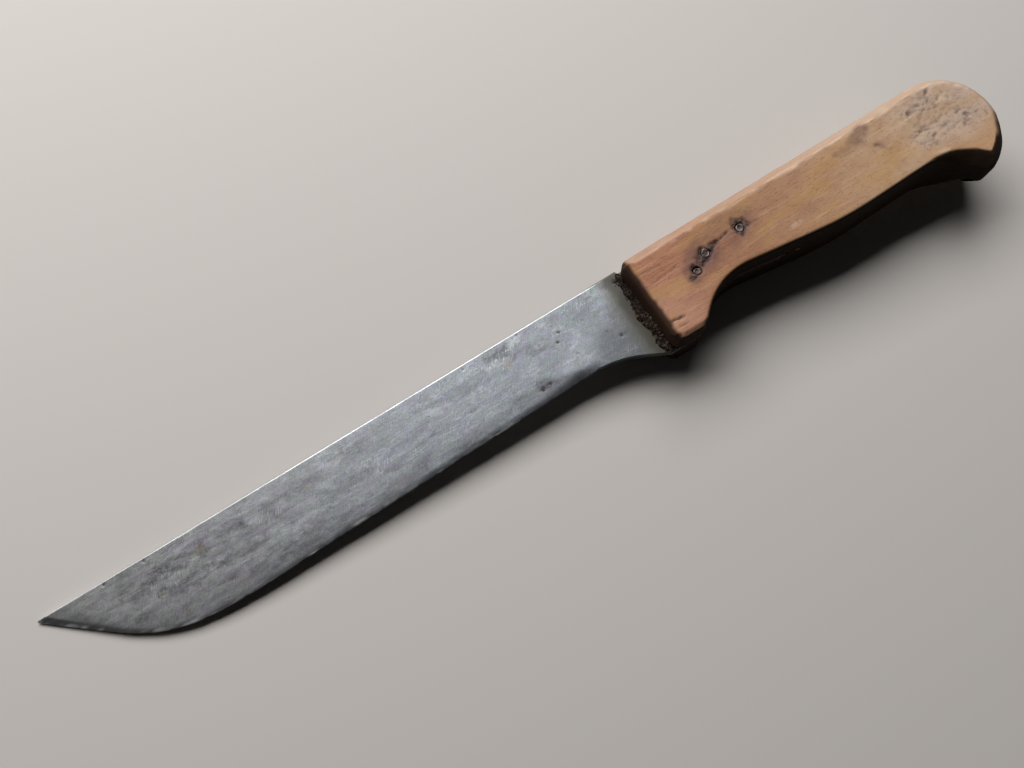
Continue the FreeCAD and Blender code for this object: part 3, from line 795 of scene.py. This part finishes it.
def blade_masks(points, from_spine, from_edge):
    """How far the steel stands in or out, where it is stained, pitted or scratched, and where shade and
    highlights are painted.
    """
    top = smooth(-0.05, 0.1, points[:, 2])
    x = points[:, 0]
    dark = np.zeros(len(points))
    for start, end, width, strength, seed in DARK_STREAKS:
        line = streak(points, start, end, width * 1.6, seed, ragged=1.4)
        line *= smooth(-0.55, 0.35, fractal(points, (3.2, 1.4, 3.0), seed + 50))
        dark = np.maximum(dark, strength * line)
    dark = np.maximum(dark, widest(points, DARK_SPOTS))
    mottled = smooth(0.1, 0.6, fractal(points, (7.0, 2.4, 6.0), 120)) * 0.45
    mottled *= 1.0 - smooth(165.0, 190.0, x)
    under = smooth(0.0, 0.5, fractal(points, (16.0, 4.0, 6.0), 121)) * 0.5
    dark = np.maximum(dark * top, np.maximum(mottled, under * (1.0 - top)))

    pits = np.zeros(len(points))
    for number, (pit_x, depth, radius) in enumerate(PITS):
        pit = spot(points, pit_x, -depth, radius, radius, rough=0.4, seed=FIRST_PIT_SEED + number)
        pits = np.maximum(pits, top * pit)
    pits = np.maximum(pits, smooth(0.60, 0.78, fractal(points, 0.9, 141)) * 0.7)
    faint = 0.6 * smooth(0.35, 0.75, fractal(points, (6.0, 3.0, 5.0), 154))
    faint *= 1.0 - smooth(120.0, 150.0, x)
    tan = np.maximum(widest(points, TAN_SPOTS), faint)
    tip = 1.0 - smooth(-2.0, 2.5, x - (8.4 + 0.93 * from_spine) + 2.0 * fractal(points, 3.0, 155))
    tarnish = smooth(191.0, 197.5, x + 1.4 * fractal(points, 2.6, 156)) * (1.0 - smooth(202.0, 204.0, x))
    patchy = 0.45 * smooth(184.0, 190.0, x) * smooth(0.1, 0.7, fractal(points, 4.0, 157))
    tarnish = np.maximum(tarnish, patchy)
    # Painted highlight: a light line along the honed edge, partly bright honed steel and partly the lit
    # bevel.
    honed_edge_glint = (1.0 - smooth(0.5, 1.6, from_edge)) * (1.0 - smooth(155.0, 165.0, x))
    honed_edge_glint *= smooth(0.0, 0.6, fractal(points, (5.0, 1.0, 2.0), 158) + 0.15)
    # Painted highlight along the rounded spine, where it catches the window, joined with the honed edge line.
    spine_glint_and_honed_edge = np.maximum(1.0 - smooth(0.15, 0.6, from_spine), honed_edge_glint)
    spine_glint_and_honed_edge *= 1.0 - smooth(HANDLE_FRONT - 16.0, HANDLE_FRONT - 8.0, x)
    scratched = widest(points, SCRATCHED_SPOTS) * top
    height = 0.03 * fractal(points, (11.0, 5.0, 8.0), 160) + 0.012 * fractal(points, 1.6, 161)
    height -= 0.10 * pits + 0.02 * dark
    # Painted shade: the steel is darkened towards the edge, where the blade's lower part lies in shade, and
    # over the heel, ricasso and choil.
    reach = 7.0 + 3.0 * noise(points, (14.0, 30.0, 30.0), 162)
    low = (1.0 - smooth(0.0, 1.0, from_edge / reach)) * (0.75 + 0.4 * fractal(points, (5.0, 2.0, 4.0), 163))
    heel = spot(points, 168.0, -21.5, 13.0, 4.6, turn=-12, rough=0.3, seed=169)
    ricasso = 0.75 * smooth(2.0, 12.0, -points[:, 1]) + 0.55 * smooth(13.0, 19.0, -points[:, 1])
    ricasso *= smooth(176.0, 187.0, x)
    choil = smooth(168.0, 178.0, x) * (1.0 - smooth(0.6, 2.4, from_edge))
    lighter = smooth(140.0, 152.0, x) * (1.0 - smooth(168.0, 176.0, x)) * (1.0 - smooth(1.5, 4.0, from_edge))
    low = np.maximum.reduce([low, ricasso, heel, choil]) * (1.0 - 0.45 * lighter)
    return height, {
        "dark": dark,
        "pit": pits,
        "tan": tan,
        "tip": tip,
        "low": low,
        "scratched": scratched,
        "tarnish": tarnish,
        "spine_glint_and_honed_edge": spine_glint_and_honed_edge,
    }


def steel_material():
    """Ground carbon steel with grey patina, streaks and slanting scratches, painted shade towards the edge
    and a painted highlight along the spine.
    """
    shader = Shader("patinated_steel")
    along = shader.add("ShaderNodeMapRange", Value=shader.axis("X"))
    along.inputs["From Max"].default_value = HANDLE_FRONT
    tone = shader.ramp(along.outputs["Result"], (
        (0.0, paint(170, 169, 167)),
        (0.1, paint(164, 164, 164)),
        (0.3, paint(151, 152, 156)),
        (0.6, paint(140, 145, 153)),
        (0.86, paint(136, 142, 150)),
        (0.95, paint(120, 128, 134)),
        (1.0, paint(112, 118, 122)),
    ))
    long_streaks = shader.noise((20.0, 1.7, 3.0), detail=4.0, rough=0.7, wobble=0.5)
    fore = shader.between(shader.axis("X"), 80.0, 150.0, 0.5, 0.28)
    tone = shader.mix(shader.times(shader.between(long_streaks, 0.42, 0.66), fore), tone, paint(96, 97, 98))
    cloud = shader.noise((5.0, 3.5, 4.0), detail=6.0, rough=0.7, shift=5.0)
    tone = shader.mix(shader.between(cloud, 0.44, 0.66, 0.0, 0.5), tone, paint(112, 112, 112))
    light_cloud = shader.noise((6.0, 3.2, 5.0), detail=5.0, rough=0.65, shift=15.0)
    tone = shader.mix(shader.between(light_cloud, 0.5, 0.7, 0.0, 0.4), tone, paint(184, 188, 193))
    tint = shader.between(shader.noise((3.0, 2.0, 3.0), detail=3.0, shift=61.0), 0.4, 0.6)
    tone = shader.mix(0.16, tone, shader.mix(tint, paint(150, 140, 168), paint(140, 158, 142)))
    grit = shader.noise((0.6, 0.45, 0.5), detail=3.0, rough=0.7, shift=9.0)
    tone = shader.mix(shader.between(grit, 0.48, 0.7, 0.0, 0.5), tone, paint(88, 87, 87))
    slanted = shader.noise((3.2, 0.24, 2.0), detail=2.0, rough=0.6, turn=-62.0, shift=2.0)
    slanted = shader.between(slanted, 0.54, 0.68)
    marked = shader.maths("ADD", 0.14, shader.times(shader.mask("scratched"), 0.5))
    tone = shader.mix(shader.times(slanted, marked), tone, paint(202, 205, 208))
    crossed = shader.noise((3.6, 0.22, 2.0), detail=2.0, rough=0.6, turn=-52.0, shift=12.0)
    crossed = shader.between(crossed, 0.56, 0.7)
    marked = shader.maths("ADD", 0.22, shader.times(shader.mask("scratched"), 0.5))
    tone = shader.mix(shader.times(crossed, marked), tone, paint(76, 75, 75))
    lengthwise = shader.noise((14.0, 0.24, 2.0), detail=2.0, rough=0.6, turn=3.0, shift=22.0)
    lengthwise = shader.between(lengthwise, 0.6, 0.72)
    tone = shader.mix(shader.times(lengthwise, 0.12), tone, paint(190, 193, 196))

    # Painted shade towards the edge and over the heel and ricasso.
    tone = shader.mix(shader.times(shader.mask("low"), 0.7), tone, paint(80, 82, 85))
    tone = shader.mix(shader.times(shader.mask("tip"), 0.35), tone, paint(100, 104, 100))
    speckle = shader.noise((1.1, 0.7, 0.9), detail=4.0, rough=0.7, shift=41.0)
    speckle = shader.between(speckle, 0.35, 0.62, 0.35, 1.0)
    tone = shader.mix(shader.times(shader.mask("dark"), speckle, 0.95), tone, paint(76, 74, 80))
    tone = shader.mix(shader.times(shader.mask("tan"), 0.35), tone, paint(140, 124, 104))
    tone = shader.mix(shader.times(shader.mask("tarnish"), 0.8), tone, paint(72, 67, 52))
    tone = shader.mix(shader.times(shader.mask("pit"), 0.85), tone, paint(40, 36, 34))
    # Painted highlight along the spine and the honed edge.
    tone = shader.mix(shader.times(shader.mask("spine_glint_and_honed_edge"), 0.75), tone, paint(214, 216, 216))
    eaten = shader.most(shader.mask("pit"), shader.mask("tarnish"))
    rough = shader.most(shader.between(cloud, 0.3, 0.7, 0.36, 0.5), shader.times(eaten, 0.75))
    metal = shader.maths("SUBTRACT", 0.8, shader.times(eaten, 0.6))
    return shader.surface(tone, rough, (
        (slanted, -0.012),
        (crossed, -0.014),
        (lengthwise, -0.01),
        (grit, 0.012),
    ), metallic=metal)


def make_blade():
    """Blade with a nicked edge and a slightly uneven face."""
    points, faces, low, high, stations = blade_grid()
    spine = np.interp(points[:, 0], stations, high)
    edge = np.interp(points[:, 0], stations, low)
    from_spine = spine - points[:, 1]
    from_edge = points[:, 1] - edge
    height, masks = blade_masks(points, from_spine, from_edge)
    side = np.sign(points[:, 2]) * smooth(0.0, 0.25, np.abs(points[:, 2]))
    shaped = points.copy()
    shaped[:, 2] += side * np.minimum(height, MOST_PROUD)
    along = points * (1.0, 0.0, 0.0)
    nicks = 0.22 * smooth(0.35, 0.8, noise(along, 1.4, 170))
    nicks += 0.12 * smooth(0.0, 1.0, noise(along, 9.0, 171))
    nicks *= (1.0 - smooth(0.0, 1.2, from_edge)) * (1.0 - smooth(176.0, 186.0, points[:, 0]))
    nicks *= smooth(1.0, 6.0, points[:, 0])
    shaped[:, 1] += nicks
    return new_piece("steel_blade", shaped, faces, steel_material(), ["blade"], masks)


# ---------------------------------------------------------------- pins and pitch

PIN_HALF_LENGTH = 9.75
PIN_AROUND = 40

# how ragged each pin's heads are; the pins are made in this order
PIN_RAGGEDNESS = {"front_pin": 1.9, "middle_pin": 1.9, "rear_pin": 1.0}

# a head's outline from its middle: radius, and how far it lies above the pin's nominal end
HEAD = (
    (0.0, -0.42),
    (0.35, -0.4),
    (0.65, -0.22),
    (0.9, 0.0),
    (1.12, 0.02),
    (1.24, -0.12),
    (1.27, -0.4),
)
SHANK_RADIUS = 1.25


def iron_material():
    """Rusted iron with a lighter worn rim."""
    shader = Shader("rusted_iron")
    rust = shader.noise((0.8, 0.8, 1.4), detail=4.0, rough=0.7)
    tone = shader.mix(shader.between(rust, 0.35, 0.65), paint(50, 42, 40), paint(88, 66, 54))
    tone = shader.mix(shader.mask("rim"), tone, paint(150, 141, 140))
    grit = shader.noise((0.25, 0.25, 0.25), detail=3.0, shift=4.0)
    rough = shader.between(grit, 0.3, 0.7, 0.4, 0.7)
    metal = shader.times(shader.mask("rim"), 0.7)
    return shader.surface(tone, rough, ((rust, 0.05), (grit, 0.03)), metallic=metal)


def make_pin(name, material, seed, ragged):
    """Iron pin with a peened, cupped and ragged head at each end."""
    x, depth = PIN_PLACES[name]
    end_z = PIN_HALF_LENGTH
    profile = [(radius, end_z + above) for radius, above in HEAD]
    profile += [(SHANK_RADIUS, z) for z in np.linspace(end_z - 1.0, -end_z + 1.0, 13)]
    profile += [(radius, -z) for radius, z in reversed(profile[:len(HEAD)])]
    turn = np.linspace(0.0, 2.0 * np.pi, PIN_AROUND, endpoint=False)
    rings = []
    for radius, z in profile[1:-1]:
        rings.append(np.stack([radius * np.cos(turn), radius * np.sin(turn), np.full(PIN_AROUND, z)], axis=1))
    points = np.concatenate([[[0.0, 0.0, profile[0][1]]], *rings, [[0.0, 0.0, profile[-1][1]]]])
    end = smooth(end_z - 1.2, end_z - 0.3, np.abs(points[:, 2]))
    rim = smooth(0.55, 0.95, np.hypot(points[:, 0], points[:, 1])) * end
    rim *= smooth(0.3 * ragged - 0.5, 0.2 + 0.3 * ragged, noise(points, (0.9, 0.9, 3.0), seed + 3))
    swell = 1.0 + 0.16 * ragged * end * noise(points, (1.1, 1.1, 3.0), seed)
    points[:, 0] *= swell
    points[:, 1] *= swell
    points[:, 2] += 0.14 * ragged * end * noise(points, 0.7, seed + 1)
    points += (x, -depth, 0.0)
    faces = closed_tube(len(rings), PIN_AROUND)
    return new_piece(f"peened_{name}", points, faces, material, [name], {"rim": rim})


def pitch_material():
    """Black pitch and dirt with tan crumbs, mostly in the lower half."""
    shader = Shader("old_pitch")
    lumps = shader.noise((0.9, 0.9, 0.9), detail=4.0, rough=0.7)
    tone = shader.mix(shader.between(lumps, 0.4, 0.62), paint(8, 6, 5), paint(34, 24, 17))
    crumbs = shader.between(shader.noise((0.8, 0.7, 0.8), detail=5.0, rough=0.8, shift=6.0), 0.48, 0.6)
    clusters = shader.between(shader.noise((3.0, 3.4, 3.0), detail=2.0, shift=44.0), 0.38, 0.56, 0.35, 1.0)
    lower = shader.between(shader.axis("Y"), -8.0, -15.0, 0.4, 0.9)
    tone = shader.mix(shader.times(shader.times(crumbs, clusters), lower), tone, paint(128, 108, 94))
    rough = shader.between(lumps, 0.3, 0.7, 0.5, 0.85)
    return shader.surface(tone, rough, ((lumps, 0.2), (crumbs, 0.08)), specular=0.1)


GRAINS = 320
GRAIN_ROWS = 7
GRAIN_AROUND = 10
BEAD_AROUND = 20
BEAD_STEP = 0.24
BEAD_MIDDLE = 16.2
BEAD_HALF_LENGTH = 15.4
LEAST_REACH = 0.25


def lump(centre, radii, seed):
    """Small closed irregular grain, as points and faces."""
    points = [(0.0, 0.0, 1.0)]
    for ring in range(1, GRAIN_ROWS):
        tilt = math.pi * ring / GRAIN_ROWS
        for i in range(GRAIN_AROUND):
            turn = 2.0 * math.pi * i / GRAIN_AROUND
            points.append((math.sin(tilt) * math.cos(turn), math.sin(tilt) * math.sin(turn), math.cos(tilt)))
    points.append((0.0, 0.0, -1.0))
    points = np.array(points)
    points *= 1.0 + 0.35 * noise(points + seed * 7.0, 0.8, seed)[:, None]
    points = points * radii + centre
    return points, closed_tube(GRAIN_ROWS - 1, GRAIN_AROUND)


def bead(side, seed):
    """Irregular bead of pitch in the corner between one face of the blade and the handle's front."""
    depths = np.arange(0.9, 31.6, BEAD_STEP)
    turn = np.linspace(0.0, 2.0 * np.pi, BEAD_AROUND, endpoint=False)
    rings = []
    for depth in depths:
        centre = np.array([[HANDLE_FRONT - 0.6, -depth, side * 1.15]])
        ends = math.sqrt(max(0.0, 1.0 - abs((depth - BEAD_MIDDLE) / BEAD_HALF_LENGTH) ** 6))
        lower = smooth(10.0, 16.0, np.array([depth]))[0]
        reach = 1.5 + 1.0 * lower + 1.0 * noise(centre, 2.8, seed)[0] + 0.3 * noise(centre, 1.3, seed + 1)[0]
        height = 0.8 + 0.8 * lower + 0.6 * noise(centre, 1.7, seed + 2)[0]
        reach = max(LEAST_REACH, reach) * ends + 0.02
        height = max(LEAST_REACH, height) * ends + 0.02
        ring = np.stack([reach * np.cos(turn), np.zeros(BEAD_AROUND), height * side * np.sin(turn)], axis=1)
        rings.append(ring + centre)
    points = np.concatenate(rings)
    middle = np.repeat([r.mean(axis=0) for r in rings], BEAD_AROUND, axis=0)
    points = middle + (points - middle) * (1.0 + 0.24 * fractal(points, 1.3, seed + 3))[:, None]
    faces = tube(len(rings), BEAD_AROUND, 0)
    faces.append(tuple(range(BEAD_AROUND - 1, -1, -1)))
    last = (len(rings) - 1) * BEAD_AROUND
    faces.append(tuple(range(last, last + BEAD_AROUND)))
    return points, faces


def make_pitch():
    """Beads of pitch on both faces of the blade with grains scattered ahead of them."""
    rng = np.random.default_rng(7)
    shells = [bead(1.0, 201), bead(-1.0, 211)]
    for number in range(GRAINS):
        side = 1.0 if number % 3 else -1.0
        depth = rng.uniform(1.2, 31.0) if number % 2 else rng.uniform(13.0, 31.0)
        away = abs(rng.normal(0.0, 1.1))
        size = rng.uniform(0.14, 0.55) * math.exp(-0.22 * away)
        centre = (HANDLE_FRONT - 0.9 - away, -depth, side * (1.0 + rng.uniform(0.0, 0.9) * math.exp(-away)))
        radii = size * rng.uniform(0.6, 1.4, 3)
        shells.append(lump(centre, radii, 300 + number))
    points = np.concatenate([shell[0] for shell in shells])
    faces = []
    base = 0
    for shell_points, shell_faces in shells:
        faces += [tuple(base + i for i in face) for face in shell_faces]
        base += len(shell_points)
    return new_piece("pitch_bead", points, faces, pitch_material(), ["slot_seal"])


# ---------------------------------------------------------------- stage

FLOOR_REACH = 4.0
SKY_COLOUR = (1.0, 0.97, 0.93, 1.0)
SKY_STRENGTH = 0.018
WINDOW_WIDTH = 1.1
WINDOW_HEIGHT = 0.54
WINDOW_POWER = 12.6
WINDOW_COLOUR = (1.0, 0.99, 0.98)
WINDOW_ELEVATION = 48.0
WINDOW_ASIDE = 0.05
WINDOW_DISTANCE = 0.85
CAMERA_TILT = 17.12
CAMERA_HEADING = 30.63
CAMERA_ROLL = -1.28
CAMERA_LENS = 28.125
CAMERA_PLACE = (-48.33, -56.95, 241.36)


def make_stage():
    """Plain pale floor under the knife."""
    reach = FLOOR_REACH
    mesh = bpy.data.meshes.new("floor")
    corners = [(-reach, -reach, 0.0), (reach, -reach, 0.0), (reach, reach, 0.0), (-reach, reach, 0.0)]
    mesh.from_pydata(corners, [], [(0, 1, 2, 3)])
    floor = bpy.data.objects.new("floor", mesh)
    bpy.context.scene.collection.objects.link(floor)
    card = bpy.data.materials.new("pale_card")
    card.use_nodes = True
    shader = card.node_tree.nodes["Principled BSDF"]
    shader.inputs["Base Color"].default_value = paint(186, 182, 178)
    shader.inputs["Roughness"].default_value = 0.9
    shader.inputs["Specular IOR Level"].default_value = 0.1
    mesh.materials.append(card)


def make_light():
    """One large soft window behind the spine and a faint sky."""
    scene = bpy.context.scene
    world = bpy.data.worlds.new("studio")
    world.use_nodes = True
    sky = world.node_tree.nodes["Background"]
    sky.inputs["Color"].default_value = SKY_COLOUR
    sky.inputs["Strength"].default_value = SKY_STRENGTH
    scene.world = world
    scene.view_settings.view_transform = "Standard"
    scene.view_settings.look = "None"
    window = bpy.data.lights.new("window", "AREA")
    window.shape = "RECTANGLE"
    window.size = WINDOW_WIDTH
    window.size_y = WINDOW_HEIGHT
    window.energy = WINDOW_POWER
    window.color = WINDOW_COLOUR
    holder = bpy.data.objects.new("window", window)
    scene.collection.objects.link(holder)
    elevation = math.radians(WINDOW_ELEVATION)
    away = Vector((WINDOW_ASIDE, math.cos(elevation), math.sin(elevation))) * WINDOW_DISTANCE
    holder.location = away
    holder.rotation_euler = away.to_track_quat("Z", "Y").to_euler()


def make_camera():
    """Camera above the knife, tilted off the vertical and turned about it."""
    tilt = math.radians(CAMERA_TILT)
    heading = math.radians(CAMERA_HEADING)
    roll = math.radians(CAMERA_ROLL)
    data = bpy.data.cameras.new("camera")
    data.sensor_width = 36.0
    data.lens = CAMERA_LENS
    data.clip_start = 0.01
    camera = bpy.data.objects.new("camera", data)
    right = Vector((math.cos(heading), -math.sin(heading), 0.0))
    ahead = Vector((math.sin(tilt) * math.sin(heading), math.sin(tilt) * math.cos(heading), -math.cos(tilt)))
    up = right.cross(ahead)
    turned = Matrix((right, up, -ahead)).transposed() @ Matrix.Rotation(roll, 3, "Z")
    camera.matrix_world = Matrix.Translation(Vector(CAMERA_PLACE) * MM) @ turned.to_4x4()
    bpy.context.scene.collection.objects.link(camera)
    bpy.context.scene.camera = camera


make_camera()
make_stage()
make_light()
make_blade()
make_handle()
iron = iron_material()
for number, (pin, raggedness) in enumerate(PIN_RAGGEDNESS.items()):
    make_pin(pin, iron, 400 + 10 * number, raggedness)
make_pitch()
